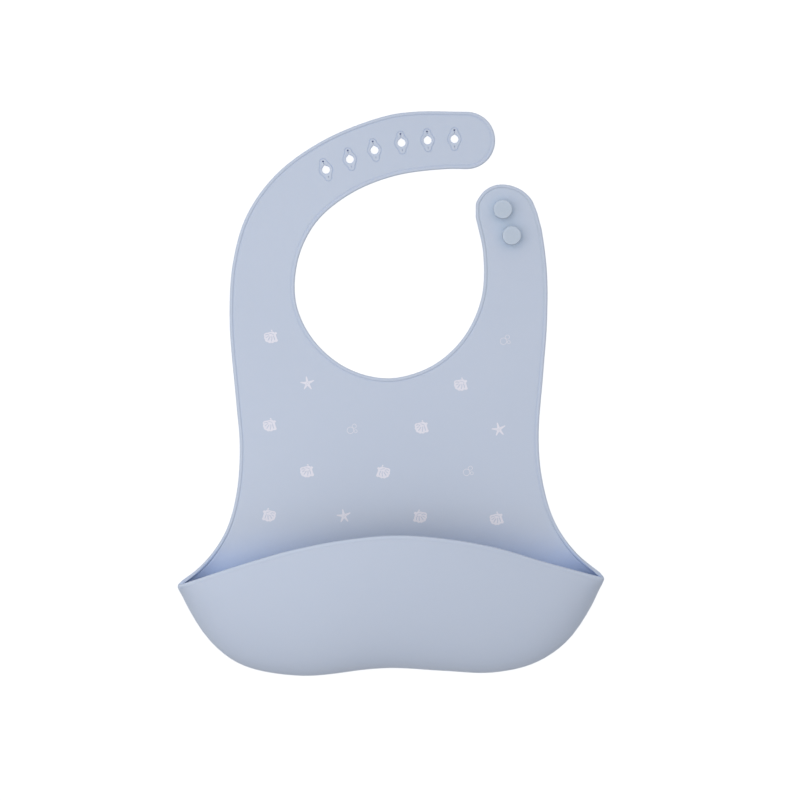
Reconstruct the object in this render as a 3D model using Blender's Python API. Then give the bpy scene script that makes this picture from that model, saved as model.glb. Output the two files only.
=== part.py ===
"""Silicone baby bib, laid flat on its back, neck end toward +Y, front face up (+Z).

Sizes are in millimetres in the constants and in metres in the scene.
The bib is one soft moulded sheet. It is built here as the regions it works as: a chest
panel, two strap arms with their flex lines, a catch pocket, two studs and the ink motifs.
A flex line is a V groove cut from both faces to the middle of the sheet, and the hinge
axis of the two regions lies in that middle plane.
"""
import math

import bpy
from mathutils import Vector

MM = 0.001

# The outline below is drawn about the chest. This slides it so that the origin is under the
# middle of the whole object.
LAYOUT_SHIFT_Y = -0.6

# ---------------------------------------------------------------- sheet
SHEET_T = 2.0              # thickness of the moulded sheet
MID_Z = SHEET_T / 2        # middle plane, where the flex axes lie
GROOVE_GAP = 0.30          # width left open at the middle of a flex line
GROOVE_SLOPE = 1.6         # how far each lip leans back, per mm of height
NEIGHBOUR_GAP = 0.30       # clearance between touching pieces of one body

# Outline of the sheet, control points of one smooth closed curve.
LEFT_EDGE = [(-115.0, -103.0), (-104.5, -94.5), (-95.5, -84.0), (-88.0, -71.0), (-83.5, -52.0),
             (-82.0, -28.0), (-84.0, -3.5), (-87.5, 41.0), (-85.5, 72.0), (-78.0, 97.0),
             (-62.0, 119.0), (-36.0, 137.5), (-4.0, 150.0), (12.5, 152.5), (40.5, 152.5)]
STRAP_TIP_CENTRE = (40.5, 137.0)
STRAP_TIP_RADIUS = 15.5
NECK_EDGE = [(40.5, 121.5), (29.0, 121.5), (2.5, 118.0), (-21.5, 108.5), (-40.5, 93.0),
             (-50.5, 72.5), (-51.5, 49.0), (-42.0, 29.0), (-24.0, 14.0), (-1.5, 8.5),
             (21.5, 15.0), (38.5, 30.0), (48.5, 51.5), (49.5, 76.0), (45.5, 95.5)]
TAB_TIP = [(45.5, 102.5), (47.5, 106.5), (50.5, 110.0), (54.5, 112.3), (58.5, 113.2), (62.5, 113.0),
           (66.5, 112.0), (70.5, 110.0), (73.5, 107.5), (76.0, 104.5), (77.5, 101.0), (78.7, 98.0)]
RIGHT_EDGE = [(81.0, 89.5), (84.0, 65.5), (84.0, 38.5), (82.0, 11.5), (79.5, -23.5),
              (81.5, -46.5), (88.0, -68.5), (99.5, -85.5), (115.0, -99.5)]

# ---------------------------------------------------------------- flex lines
# Each line passes through two points of the middle plane.
SHOULDER_Y = 56.0                                    # both strap arms fold here
STRAP_BEND = ((-37.5, 97.2), (-60.2, 119.9))         # behind the first buttonhole
STRAP_END_BEND = ((1.6, 117.1), (-4.9, 149.5))       # between the third and fourth holes
TAB_BEND_Y = 71.0                                    # under the lower stud
POCKET_FOLD_Y = -54.0                                # across the panel, above the pocket

# ---------------------------------------------------------------- fastening
HOLES = [(-35.4, 121.1, -19.0), (-22.5, 126.8, -13.5), (-9.2, 131.7, -11.5),
         (5.4, 135.7, -7.0), (19.5, 137.0, -4.0), (34.0, 137.7, -0.5)]   # x, y, lean in degrees
HOLE_R = 2.15
HOLE_POINT = 2.75          # distance from the hole's centre to its pointed end
STUDS = {"upper_button": (60.0, 99.4), "lower_button": (64.8, 85.3)}
STUD_CAP_R = 4.9
STUD_STEM_R = 2.6
STUD_H = 5.6               # above the sheet

# ---------------------------------------------------------------- pocket
# Lower outline of the pocket, from its left corner to its right corner.
POCKET_BOTTOM = [(-115.0, -104.0), (-108.3, -117.3), (-96.6, -134.2), (-80.2, -146.1), (-48.5, -151.8),
                 (-11.5, -148.2), (2.0, -147.6), (29.5, -149.2), (54.0, -150.1), (76.3, -145.3),
                 (93.8, -133.9), (106.7, -115.8), (115.0, -99.5)]
# Upper edge of the front wall, in plan.
POCKET_RIM = [(-114.5, -103.5), (-82.5, -92.0), (-54.5, -83.5), (-25.0, -77.5), (2.5, -75.0),
              (30.0, -77.0), (56.5, -82.0), (81.0, -89.5), (114.5, -99.0)]
POCKET_HALF_W = 115.0
RIM_CORNER_Z = 14.0        # height of the rim's middle plane at the corners
RIM_CENTRE_Z = 31.0        # and at the centre
BEND_R = 5.0               # radius of the turn under the pocket, at the centre
BEND_R_END = 1.4           # and at the corners
WALL_SPAN = math.radians(78.0)   # part of a quarter ellipse that the wall follows
WALL_HALF_W = 72.0         # the middle of the wall flexes between these two planes
HINGE_Z = 9.0              # height of the wall's flex line
HINGE_GAP = 1.4            # slot along that line
SIDE_GAP = 0.5             # slot at each side of the flexing part

# ---------------------------------------------------------------- ink motifs
FILM_Z = SHEET_T + 0.20
FILM_T = 0.20
SHELLS = [(-65.1, 30.9), (37.5, 5.2), (-65.7, -16.7), (16.3, -17.9), (-45.6, -41.6), (-4.5, -42.1),
          (-66.2, -65.4), (15.4, -66.1), (56.8, -67.3)]
STARFISH = [(-45.2, 5.6), (58.2, -19.2), (-25.5, -66.0)]
BUBBLES = [(61.6, 29.2), (-21.1, -18.9), (41.6, -41.6)]
MOTIF_R = 3.6


# ================================================================ helpers
def smooth_curve(points, steps=6):
    """Points along a centripetal Catmull-Rom curve through the control points."""
    pts = [Vector(p) for p in points]
    ends = [2 * pts[0] - pts[1]] + pts + [2 * pts[-1] - pts[-2]]
    out = []
    for i in range(1, len(ends) - 2):
        p0, p1, p2, p3 = ends[i - 1:i + 3]
        t1 = math.sqrt((p1 - p0).length)
        t2 = t1 + math.sqrt((p2 - p1).length)
        t3 = t2 + math.sqrt((p3 - p2).length)
        for k in range(steps):
            t = t1 + (t2 - t1) * k / steps
            a1 = p0 * ((t1 - t) / t1) + p1 * (t / t1)
            a2 = p1 * ((t2 - t) / (t2 - t1)) + p2 * ((t - t1) / (t2 - t1))
            a3 = p2 * ((t3 - t) / (t3 - t2)) + p3 * ((t - t2) / (t3 - t2))
            b1 = a1 * ((t2 - t) / t2) + a2 * (t / t2)
            b2 = a2 * ((t3 - t) / (t3 - t1)) + a3 * ((t - t1) / (t3 - t1))
            out.append(b1 * ((t2 - t) / (t2 - t1)) + b2 * ((t - t1) / (t2 - t1)))
    out.append(pts[-1])
    return out


def arc(centre, radius, start, end, steps):
    out = []
    for k in range(steps + 1):
        a = math.radians(start + (end - start) * k / steps)
        out.append(Vector((centre[0] + radius * math.cos(a), centre[1] + radius * math.sin(a))))
    return out


def at_fraction(line, f):
    """The point at fraction f of a polyline's length."""
    seg = [(line[i + 1] - line[i]).length for i in range(len(line) - 1)]
    left = f * sum(seg)
    for i, length in enumerate(seg):
        if left <= length:
            return line[i].lerp(line[i + 1], left / length)
        left -= length
    return line[-1]


def at_x(line, x):
    """The point of a polyline that runs toward +X where it crosses x."""
    for a, b in zip(line, line[1:]):
        if a.x <= x <= b.x:
            return a.lerp(b, (x - a.x) / (b.x - a.x))
    raise ValueError("x is off the line")


def part_of(line, x0, x1):
    return [at_x(line, x0)] + [p for p in line if x0 < p.x < x1] + [at_x(line, x1)]


def clip(loop, point, normal, offset):
    """Keeps the side of a line that its normal points to. Returns the loop and, for each of its
    points, the direction to slide it back to the line, or None for a point of the old loop."""
    n = Vector(normal).normalized()
    p0 = Vector(point)
    out = []
    count = len(loop)
    for i in range(count):
        (a, ka), (b, kb) = loop[i], loop[(i + 1) % count]
        da = (a - p0).dot(n) - offset
        db = (b - p0).dot(n) - offset
        if da >= 0:
            out.append((a, ka))
        if (da >= 0) != (db >= 0):
            cut = a.lerp(b, da / (da - db))
            along = (b - a).normalized()
            out.append((cut, along / along.dot(n)))
    return out


def material(name, rgb, roughness):
    mat = bpy.data.materials.new(name)
    mat.use_nodes = True
    bsdf = mat.node_tree.nodes["Principled BSDF"]
    bsdf.inputs["Base Color"].default_value = (*rgb, 1.0)
    bsdf.inputs["Roughness"].default_value = roughness
    bsdf.inputs["Metallic"].default_value = 0.0
    return mat


SILICONE = (0.50, 0.56, 0.67)
PALE_INK = (0.78, 0.75, 0.82)


def empty(name, where, parent=None):
    """A joint's empty, on the joint's axis. where is in world millimetres."""
    obj = bpy.data.objects.new(name, None)
    obj["at"] = where
    base = Vector(parent["at"]) if parent else Vector((0, 0, 0))
    obj.location = (Vector(where) - base) * MM
    obj.parent = parent
    bpy.context.scene.collection.objects.link(obj)
    return obj


def solid(name, verts, faces, parent, rgb=SILICONE, roughness=0.55, smooth=False):
    """A closed mesh, from world millimetres, under its body's empty."""
    base = Vector(parent["at"]) if parent else Vector((0, 0, 0))
    mesh = bpy.data.meshes.new(name)
    mesh.from_pydata([tuple((Vector(v) - base) * MM) for v in verts], [], faces)
    volume = 0.0
    for poly in mesh.polygons:
        ring = [mesh.vertices[i].co for i in poly.vertices]
        for b, c in zip(ring[1:], ring[2:]):
            volume += ring[0].dot(b.cross(c))
    if volume < 0:
        mesh.flip_normals()
    mesh.update()
    if smooth:
        mesh.shade_smooth()
        mesh.set_sharp_from_angle(angle=math.radians(35))
    obj = bpy.data.objects.new(name, mesh)
    obj.parent = parent
    mesh.materials.append(material(name + "_material", rgb, roughness))
    bpy.context.scene.collection.objects.link(obj)
    return obj


def plate(name, outline, parent, grooves=(), z0=0.0, z1=SHEET_T, **look):
    """A flat region of the sheet. Each groove is (point, normal toward the region)."""
    loop = [(Vector(p), None) for p in outline]
    lean = GROOVE_SLOPE * SHEET_T / 2
    for point, normal in grooves:
        loop = clip(loop, point, normal, GROOVE_GAP / 2 + lean)
    face = [p for p, _ in loop]
    middle = [p - k * lean if k is not None else p for p, k in loop]
    n = len(face)
    if grooves:
        levels = ((z0, face), ((z0 + z1) / 2, middle), (z1, face))
    else:
        levels = ((z0, face), (z1, face))
    verts = [(p.x, p.y, z) for z, ring in levels for p in ring]
    faces = [list(range(n))[::-1], list(range((len(levels) - 1) * n, len(levels) * n))]
    for k in range(len(levels) - 1):
        for i in range(n):
            j = (i + 1) % n
            faces.append([k * n + i, k * n + j, (k + 1) * n + j, (k + 1) * n + i])
    return solid(name, verts, faces, parent, **look)


def shell(name, columns, parent, flat_start=False, flat_end=False):
    """A curved region SHEET_T thick around a grid of middle points. A flat side keeps its column
    of points, on both faces, in one plane of constant x."""
    nu, nv = len(columns), len(columns[0])
    outer, inner = [], []
    for i in range(nu):
        for j in range(nv):
            du = columns[min(i + 1, nu - 1)][j] - columns[max(i - 1, 0)][j]
            dv = columns[i][min(j + 1, nv - 1)] - columns[i][max(j - 1, 0)]
            n = du.cross(dv)
            if (flat_start and i == 0) or (flat_end and i == nu - 1):
                n.x = 0.0
            if j == 0 and columns[i][0].z < MID_Z + 0.01:
                n = Vector((0, 0, n.z))
            n.normalize()
            outer.append(columns[i][j] + n * (SHEET_T / 2))
            inner.append(columns[i][j] - n * (SHEET_T / 2))
    verts = outer + inner
    m = nu * nv

    def at(i, j, side):
        return i * nv + j + (m if side else 0)

    faces = []
    for i in range(nu - 1):
        for j in range(nv - 1):
            faces.append([at(i, j, 0), at(i + 1, j, 0), at(i + 1, j + 1, 0), at(i, j + 1, 0)])
            faces.append([at(i, j, 1), at(i, j + 1, 1), at(i + 1, j + 1, 1), at(i + 1, j, 1)])
        for j, flip in ((0, False), (nv - 1, True)):
            ring = [at(i, j, 0), at(i, j, 1), at(i + 1, j, 1), at(i + 1, j, 0)]
            faces.append(ring[::-1] if flip else ring)
    for j in range(nv - 1):
        for i, flip in ((0, True), (nu - 1, False)):
            ring = [at(i, j, 0), at(i, j, 1), at(i, j + 1, 1), at(i, j + 1, 0)]
            faces.append(ring[::-1] if flip else ring)
    return solid(name, verts, faces, parent, smooth=True)


def turned(name, centre, profile, z_base, parent, sides=32, **look):
    """A solid of revolution about a vertical axis, from (radius, height) points."""
    verts, faces = [], []
    for r, z in profile:
        for k in range(sides):
            a = 2 * math.pi * k / sides
            verts.append((centre[0] + r * math.cos(a), centre[1] + r * math.sin(a), z_base + z))
    for row in range(len(profile) - 1):
        for k in range(sides):
            j = (k + 1) % sides
            faces.append([row * sides + k, row * sides + j, (row + 1) * sides + j, (row + 1) * sides + k])
    faces.append(list(range(sides))[::-1])
    faces.append([(len(profile) - 1) * sides + k for k in range(sides)])
    return solid(name, verts, faces, parent, smooth=True, **look)


def cut_holes(obj, holes, parent):
    """Buttonholes: a round hole drawn out to a point, cut right through."""
    base = Vector(parent["at"])
    for k, (x, y, lean) in enumerate(holes):
        ring = [(HOLE_R * math.cos(math.radians(a)), HOLE_R * math.sin(math.radians(a)))
                for a in range(-230, 51, 20)] + [(0.0, HOLE_POINT)]
        turn = math.radians(-lean)
        c, s = math.cos(turn), math.sin(turn)
        pts = [(x + px * c - py * s, y + px * s + py * c) for px, py in ring]
        n = len(pts)
        verts = [tuple((Vector((px, py, z)) - base) * MM) for z in (-3.0, 5.0) for px, py in pts]
        faces = [list(range(n))[::-1], list(range(n, 2 * n))]
        faces += [[i, (i + 1) % n, n + (i + 1) % n, n + i] for i in range(n)]
        mesh = bpy.data.meshes.new("hole_cutter")
        mesh.from_pydata(verts, [], faces)
        cutter = bpy.data.objects.new(f"{obj.name}_cutter_{k + 1}", mesh)
        cutter.parent = parent
        cutter.hide_render = True
        cutter.display_type = "WIRE"
        bpy.context.scene.collection.objects.link(cutter)
        mod = obj.modifiers.new(f"buttonhole_{k + 1}", "BOOLEAN")
        mod.operation = "DIFFERENCE"
        mod.solver = "EXACT"
        mod.object = cutter


# ================================================================ scene
for old in list(bpy.data.objects):
    bpy.data.objects.remove(old)

# Joint empties, each on its axis in the middle plane of the sheet.
root = empty("bib_root", (0.0, 0.0, 0.0))
root.location.y = LAYOUT_SHIFT_Y * MM
strap_root = empty("hole_strap_fold", (-69.5, SHOULDER_Y, MID_Z), root)
strap_mid = empty("hole_strap_bend", (-48.85, 108.55, MID_Z), strap_root)
strap_tip = empty("hole_strap_end_bend", (-1.65, 133.3, MID_Z), strap_mid)
tab_root = empty("button_strap_fold", (67.0, SHOULDER_Y, MID_Z), root)
tab_tip = empty("button_strap_end_bend", (67.0, TAB_BEND_Y, MID_Z), tab_root)
pocket_root = empty("pocket_fold", (0.0, POCKET_FOLD_Y, MID_Z), root)

# Smooth outlines.
left = smooth_curve(LEFT_EDGE)
right = smooth_curve([TAB_TIP[-1]] + RIGHT_EDGE)[6:]
neck = smooth_curve(NECK_EDGE)
tab = smooth_curve([NECK_EDGE[-1]] + TAB_TIP + [RIGHT_EDGE[0]])
tip = arc(STRAP_TIP_CENTRE, STRAP_TIP_RADIUS, 90, -90, 12)[1:-1]
bottom = smooth_curve(POCKET_BOTTOM, 10)
rim = smooth_curve(POCKET_RIM, 10)

# ---------------------------------------------------------------- panel and straps
# The chest panel's own outline: up the left side, round the neckline, down the right side.
lean = GROOVE_SLOPE * SHEET_T / 2
groove_edge = SHOULDER_Y - GROOVE_GAP / 2 - lean


def cross_y(line, y):
    """Where a polyline crosses a height, with the direction of the line there."""
    for a, b in zip(line, line[1:]):
        if (a.y - y) * (b.y - y) <= 0 and a.y != b.y:
            return a.lerp(b, (y - a.y) / (b.y - a.y)), (b - a).normalized()
    raise ValueError("the line does not reach this height")


def chest_panel():
    fold_edge = POCKET_FOLD_Y + GROOVE_GAP / 2 + lean
    l_low, l_low_d = cross_y(left, fold_edge)
    l_top, l_top_d = cross_y(left[:60], groove_edge)
    neck_left = neck[:54]
    neck_right = neck[54:]
    n_l, n_l_d = cross_y(neck_left, groove_edge)
    n_r, n_r_d = cross_y(neck_right, groove_edge)
    r_top, r_top_d = cross_y(right, groove_edge)
    r_low, r_low_d = cross_y(right, fold_edge)
    loop = [(l_low, l_low_d, -1)]
    loop += [(p, None, 0) for p in left[:60] if fold_edge + 1 < p.y < groove_edge - 1]
    loop += [(l_top, l_top_d, 1), (n_l, n_l_d, 1)]
    loop += [(p, None, 0) for p in neck if p.y < groove_edge - 1]
    loop += [(n_r, n_r_d, 1), (r_top, r_top_d, 1)]
    loop += [(p, None, 0) for p in right if fold_edge + 1 < p.y < groove_edge - 1]
    loop += [(r_low, r_low_d, -1)]
    face = [p for p, _, _ in loop]
    middle = [p + d * (side * lean / d.y) if side else p for p, d, side in loop]
    n = len(face)
    verts = [(p.x, p.y, z) for z, ring in ((0.0, face), (MID_Z, middle), (SHEET_T, face)) for p in ring]
    faces = [list(range(n))[::-1], list(range(2 * n, 3 * n))]
    for k in range(2):
        for i in range(n):
            j = (i + 1) % n
            faces.append([k * n + i, k * n + j, (k + 1) * n + j, (k + 1) * n + i])
    return solid("chest_panel", verts, faces, root)


chest_panel()

strap_outline = ([p for p in left if p.y > SHOULDER_Y - 8 and p.x < 60] + tip
                 + [p for p in neck[:36] if p.y > SHOULDER_Y - 8])
up, down = (0.0, 1.0), (0.0, -1.0)


def across(line):
    """The unit normal of a flex line that points toward the free end of the hole strap."""
    d = Vector(line[1]) - Vector(line[0])
    n = Vector((-d.y, d.x)).normalized()
    return n if n.x > 0 else -n


bend_n, end_n = across(STRAP_BEND), across(STRAP_END_BEND)
plate("hole_strap_shoulder", strap_outline, strap_root,
      [((0.0, SHOULDER_Y), up), (STRAP_BEND[0], -bend_n)])
strap_middle = plate("hole_strap_middle", strap_outline, strap_mid,
                     [(STRAP_BEND[0], bend_n), (STRAP_END_BEND[0], -end_n)])
strap_end = plate("hole_strap_end", strap_outline, strap_tip, [(STRAP_END_BEND[0], end_n)])
cut_holes(strap_middle, HOLES[:3], strap_mid)
cut_holes(strap_end, HOLES[3:], strap_tip)

tab_outline = ([p for p in neck[60:] if p.y > SHOULDER_Y - 8] + tab[6:-6]
               + [p for p in right if p.y > SHOULDER_Y - 8])
plate("button_strap_shoulder", tab_outline, tab_root,
      [((0.0, SHOULDER_Y), up), ((0.0, TAB_BEND_Y), down)])
plate("button_strap_end", tab_outline, tab_tip, [((0.0, TAB_BEND_Y), up)])

# ---------------------------------------------------------------- studs
stud_profile = [(3.3, 0.0), (3.3, 0.3), (STUD_STEM_R + 0.2, 0.9), (STUD_STEM_R, 1.4), (STUD_STEM_R, 2.9),
                (STUD_CAP_R - 0.5, 3.1), (STUD_CAP_R, 3.6), (STUD_CAP_R, STUD_H - 0.7),
                (STUD_CAP_R - 0.25, STUD_H - 0.2), (STUD_CAP_R - 0.8, STUD_H)]
for name, centre in STUDS.items():
    turned(name, centre, stud_profile, SHEET_T + 0.2, tab_tip)

# ---------------------------------------------------------------- pocket


def rim_height(x):
    q = min(1.0, abs(x) / POCKET_HALF_W)
    return RIM_CORNER_Z + (RIM_CENTRE_Z - RIM_CORNER_Z) * (1 - q ** 2.2)


def bend_radius(x):
    q = min(1.0, abs(x) / POCKET_HALF_W)
    return BEND_R_END + (BEND_R - BEND_R_END) * (1 - q ** 3)


def section(low, top, z_from=None, z_to=None, arc_steps=6, wall_steps=12):
    """Middle points of one slice of the pocket, from the sheet under it, round the turn and up
    the wall. The slice stands on the line from the lower outline to the rim."""
    span = (top - low).length
    along = (top - low).normalized()
    r = bend_radius(low.x)
    z_low, z_top = MID_Z + r, rim_height(top.x)
    a = (span - MID_Z) / (1 - math.cos(WALL_SPAN))
    b = (z_top - z_low) / math.sin(WALL_SPAN)
    pts = []
    if z_from is None:
        for k in range(arc_steps):
            t = math.pi / 2 * k / arc_steps
            pts.append((MID_Z + r - r * math.sin(t), MID_Z + r - r * math.cos(t)))
    first = 0.0 if z_from is None else math.asin((z_from - z_low) / b)
    last = WALL_SPAN if z_to is None else math.asin((z_to - z_low) / b)
    for k in range(wall_steps + 1):
        t = first + (last - first) * k / wall_steps
        pts.append((MID_Z + a * (1 - math.cos(t)), z_low + b * math.sin(t)))
    return [Vector((low.x + along.x * s, low.y + along.y * s, z)) for s, z in pts]


def stations(x0, x1, steps):
    return [x0 + (x1 - x0) * k / steps for k in range(steps + 1)]


flex_y = sum(at_x(bottom, x).y for x in stations(-WALL_HALF_W, WALL_HALF_W, 24)) / 25 + MID_Z + 0.3
wall_root = empty("pocket_open", (0.0, round(flex_y, 1), HINGE_Z), pocket_root)

middle_x = stations(-WALL_HALF_W + SIDE_GAP / 2, WALL_HALF_W - SIDE_GAP / 2, 24)
shell("pocket_bottom", [section(at_x(bottom, x), at_x(rim, x), z_to=HINGE_Z - HINGE_GAP / 2, wall_steps=2)
                        for x in middle_x], pocket_root, True, True)
shell("pocket_front_wall", [section(at_x(bottom, x), at_x(rim, x), z_from=HINGE_Z + HINGE_GAP / 2)
                            for x in middle_x], wall_root, True, True)


def gusset_lines(side):
    """Lower outline and rim of one side of the pocket, from the flexing part to the corner."""
    x0 = side * (WALL_HALF_W + SIDE_GAP / 2)
    if side < 0:
        return part_of(bottom, bottom[0].x, x0)[::-1], part_of(rim, rim[0].x, x0)[::-1]
    return part_of(bottom, x0, bottom[-1].x), part_of(rim, x0, rim[-1].x)


CORNER_STOP = 0.93         # the turned wall ends here, where the corner is only a folded lip
GUSSET_STEPS = 14


def gusset_sections(side):
    low_line, top_line = gusset_lines(side)
    out = []
    for k in range(GUSSET_STEPS + 1):
        f = CORNER_STOP * k / GUSSET_STEPS
        out.append((at_fraction(low_line, f), at_fraction(top_line, f)))
    return out


left_pairs, right_pairs = gusset_sections(-1), gusset_sections(1)
shell("pocket_left_gusset", [section(a, b) for a, b in reversed(left_pairs)], pocket_root, False, True)
shell("pocket_right_gusset", [section(a, b) for a, b in right_pairs], pocket_root, True, False)


def back_edge(low, top):
    """Where the flat sheet meets the start of the turn."""
    along = (top - low).normalized()
    p = low + along * (MID_Z + bend_radius(low.x) + NEIGHBOUR_GAP)
    return Vector((p.x, p.y))


back_line = [back_edge(a, b) for a, b in reversed(left_pairs)]
back_line += [back_edge(at_x(bottom, x), at_x(rim, x)) for x in middle_x[1:-1]]
back_line += [back_edge(a, b) for a, b in right_pairs]
back_outline = (back_line + [p for p in right[::-1] if p.y < POCKET_FOLD_Y + 10]
                + [p for p in left[::-1] if p.y < POCKET_FOLD_Y + 10 and p.x < -70])
plate("pocket_back", back_outline, pocket_root, [((0.0, POCKET_FOLD_Y), down)])

# ---------------------------------------------------------------- ink motifs


def fan(centre, r):
    """A scallop shell: a fan with a lobed lower edge and a small hinge tab at the top."""
    cx, cy = centre
    pts = [(cx - 0.28 * r, cy + 0.95 * r), (cx + 0.28 * r, cy + 0.95 * r), (cx + 0.3 * r, cy + 0.62 * r)]
    lobes = 7
    for k in range(lobes * 4 + 1):
        a = math.radians(38 - 256 * k / (lobes * 4))
        rr = r * (0.93 + 0.07 * abs(math.sin(math.pi * k / 4)))
        pts.append((cx + 1.06 * rr * math.cos(a), cy + rr * math.sin(a) * 0.95))
    pts.append((cx - 0.3 * r, cy + 0.62 * r))
    return pts


def star(centre, r):
    """A starfish: five tapered arms, one pointing up and a little to the left."""
    pts = []
    for k in range(20):
        a = math.radians(100 - 18 * k)
        rr = {0: 1.0, 1: 0.62, 2: 0.42, 3: 0.62}[k % 4] * r
        pts.append((centre[0] + rr * math.cos(a), centre[1] + rr * math.sin(a)))
    return pts


def bubble(centre, r):
    return [(centre[0] + r * math.cos(math.radians(a)), centre[1] + 0.9 * r * math.sin(math.radians(a)))
            for a in range(360, 0, -15)]


def body_at(y):
    return root if y > POCKET_FOLD_Y else pocket_root


for kind, spots, shape in (("shell", SHELLS, fan), ("starfish", STARFISH, star), ("bubble", BUBBLES, bubble)):
    for k, spot in enumerate(spots):
        plate(f"{kind}_print_{k + 1}", shape(spot, MOTIF_R), body_at(spot[1]),
              z0=FILM_Z, z1=FILM_Z + FILM_T, rgb=PALE_INK, roughness=0.6)
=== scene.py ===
import math

import bmesh
import bpy
import numpy as np
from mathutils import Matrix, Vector
from mathutils.geometry import delaunay_2d_cdt


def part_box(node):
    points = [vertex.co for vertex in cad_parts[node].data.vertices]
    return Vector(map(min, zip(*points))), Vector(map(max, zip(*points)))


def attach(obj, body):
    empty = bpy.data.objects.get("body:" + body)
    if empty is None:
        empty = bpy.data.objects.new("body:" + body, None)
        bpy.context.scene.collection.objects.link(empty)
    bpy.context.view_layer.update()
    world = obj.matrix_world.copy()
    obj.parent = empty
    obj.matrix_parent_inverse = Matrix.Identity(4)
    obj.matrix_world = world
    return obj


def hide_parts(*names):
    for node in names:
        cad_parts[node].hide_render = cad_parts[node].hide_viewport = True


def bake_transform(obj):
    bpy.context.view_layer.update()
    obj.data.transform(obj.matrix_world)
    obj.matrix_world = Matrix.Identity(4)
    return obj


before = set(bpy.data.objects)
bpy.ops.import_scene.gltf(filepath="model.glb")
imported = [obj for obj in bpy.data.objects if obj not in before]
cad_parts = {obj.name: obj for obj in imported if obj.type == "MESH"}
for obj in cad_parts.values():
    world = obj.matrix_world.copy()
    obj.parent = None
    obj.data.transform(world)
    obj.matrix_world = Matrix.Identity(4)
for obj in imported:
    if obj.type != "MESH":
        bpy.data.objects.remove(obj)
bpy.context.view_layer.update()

scene = bpy.context.scene
scene.view_settings.view_transform = "Standard"

# Sizes below are millimetres in the layout's own frame; SHIFT_Y takes them to the shared frame.
MM = 0.001
SHIFT_Y = -0.6
MID = 1.0                  # middle plane of the 2 mm sheet

# ---------------------------------------------------------------- outlines
LEFT_EDGE = [(-115.0, -102.3), (-104.6, -94.4), (-95.5, -84.0), (-88.3, -71.0), (-83.5, -52.0),
             (-82.0, -28.0), (-84.0, -3.5), (-87.5, 41.0), (-85.5, 72.0), (-78.0, 97.0),
             (-62.0, 119.0), (-36.0, 137.5), (-4.0, 150.0), (12.5, 152.5), (40.5, 152.5)]
STRAP_TIP = (40.5, 137.0, 15.5)
NECK_EDGE = [(40.5, 121.5), (29.0, 121.5), (2.5, 118.0), (-21.5, 108.5), (-40.5, 93.0),
             (-50.5, 72.5), (-51.5, 49.0), (-42.0, 29.0), (-24.0, 14.0), (-1.5, 8.5),
             (21.5, 15.0), (38.5, 30.0), (48.5, 51.5), (49.5, 76.0), (45.5, 95.5)]
TAB_TIP = [(45.5, 102.5), (47.5, 106.5), (50.5, 110.0), (54.5, 112.3), (58.5, 113.2), (62.5, 113.0),
           (66.5, 112.0), (70.5, 110.0), (73.5, 107.5), (76.0, 104.5), (77.5, 101.0), (78.7, 98.0)]
RIGHT_EDGE = [(81.0, 89.5), (84.0, 65.5), (84.0, 38.5), (82.0, 11.5), (79.5, -23.5),
              (81.5, -46.5), (88.0, -68.5), (99.5, -85.5), (114.6, -98.4)]
POCKET_BOTTOM = [(-114.8, -103.6), (-108.3, -117.3), (-96.6, -134.2), (-80.2, -146.1), (-48.5, -151.8),
                 (-11.5, -148.2), (2.0, -147.6), (29.5, -149.2), (54.0, -150.1), (76.3, -145.3),
                 (93.8, -133.9), (106.7, -115.8), (114.1, -99.5)]
POCKET_RIM = [(-114.6, -103.0), (-82.5, -92.0), (-54.5, -83.5), (-25.0, -77.5), (2.5, -75.0),
              (30.0, -77.0), (56.5, -82.0), (81.0, -89.5), (114.0, -99.0)]

SHOULDER_Y = 56.0
STRAP_BEND = ((-37.5, 97.2), (-60.2, 119.9))
STRAP_END_BEND = ((1.6, 117.1), (-4.9, 149.5))
TAB_BEND_Y = 71.0
POCKET_FOLD_Y = -54.0

HOLES = [(-35.4, 121.1, -19.0), (-22.5, 126.8, -13.5), (-9.2, 131.7, -11.5),
         (5.4, 135.7, -7.0), (19.5, 137.0, -4.0), (34.0, 137.7, -0.5)]

# Height of the sheet over its middle plane at a distance from a free edge: a rounded bead, then a
# fine groove, then the plain sheet. The back has only a rounded edge.
BEAD = [(0.0, 0.0), (0.03, 0.38), (0.10, 0.74), (0.25, 1.04), (0.50, 1.20), (0.85, 1.27), (1.20, 1.28),
        (1.48, 1.23), (1.68, 1.10), (1.86, 0.93), (2.08, 0.87), (2.28, 0.95), (2.55, 1.0), (3.00, 1.0),
        (3.60, 1.0)]
PLAIN = [(0.0, 0.0), (0.04, 0.30), (0.13, 0.55), (0.30, 0.78), (0.55, 0.92), (0.88, 0.985), (1.25, 1.0),
         (3.60, 1.0)]
RIM_BEAD = [(0.0, 0.0), (0.04, 0.34), (0.12, 0.62), (0.28, 0.84), (0.50, 0.96), (0.85, 1.02), (1.30, 1.07),
            (1.66, 1.08), (1.86, 1.06), (2.08, 1.01), (2.28, 0.99), (2.55, 0.995), (3.00, 1.0), (3.60, 1.0)]
EDGE_STEPS = [d for d, _ in BEAD]


def profile(table, d):
    xs, ys = zip(*table)
    return np.interp(d, xs, ys)


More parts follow.
